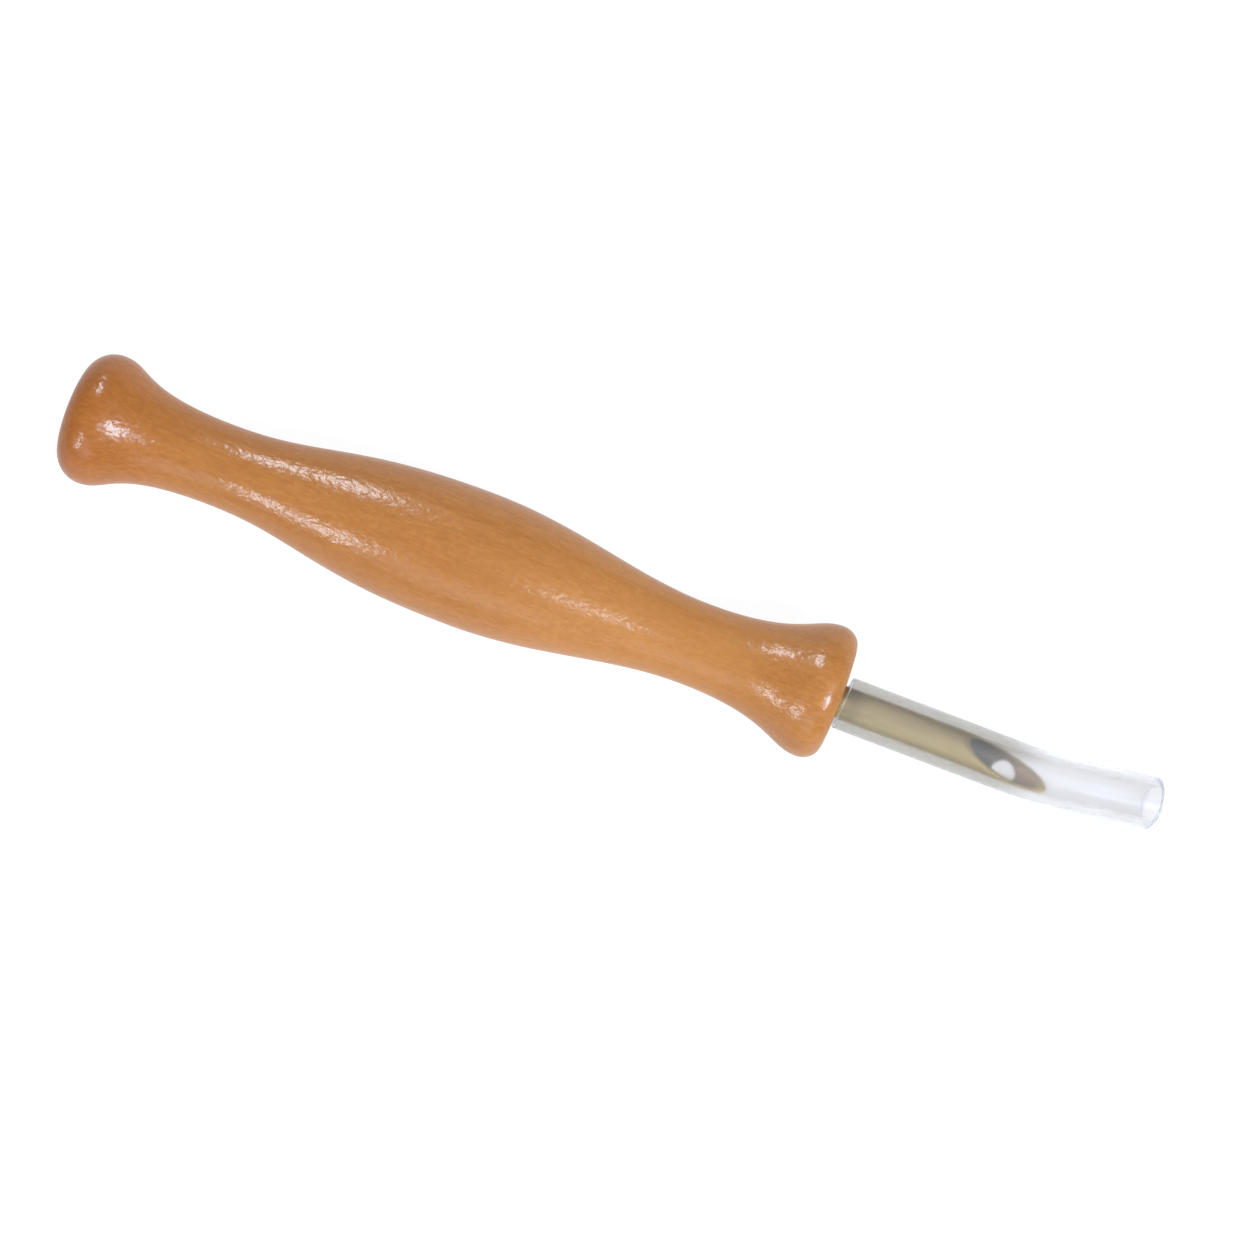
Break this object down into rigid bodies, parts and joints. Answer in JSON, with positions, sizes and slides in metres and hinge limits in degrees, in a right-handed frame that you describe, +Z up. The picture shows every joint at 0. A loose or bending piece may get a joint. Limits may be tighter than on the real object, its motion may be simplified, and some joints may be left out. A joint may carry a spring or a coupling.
{
  "type": "punch needle",
  "caption": "Punch needle: turned wooden handle, hollow bevelled steel needle with an eye for yarn, and a clear slide-off plastic sheath bent past the tip.",
  "frame": {"origin": "under the middle of the whole tool, on the surface that it lies on", "axes": "+X along the tool from the butt to the needle's tip, +Z up away from the surface, +Y to the left when looking along +X"},
  "size_m": [0.1704, 0.0206, 0.0206],
  "materials": {
    "lacquered_wood": "gloss lacquer",
    "needle_steel": "satin nickel",
    "clear_pvc": "clear"
  },
  "bodies": {
    "tool": {"handle": "lacquered_wood", "needle_tube": "needle_steel"},
    "sheath": {"sheath": "clear_pvc"}
  },
  "joints": [
    {"name": "sheath_slide", "type": "slide", "parent": "tool", "child": "sheath", "axis": [1, 0, 0], "range_m": [0, 0.05]}
  ]
}
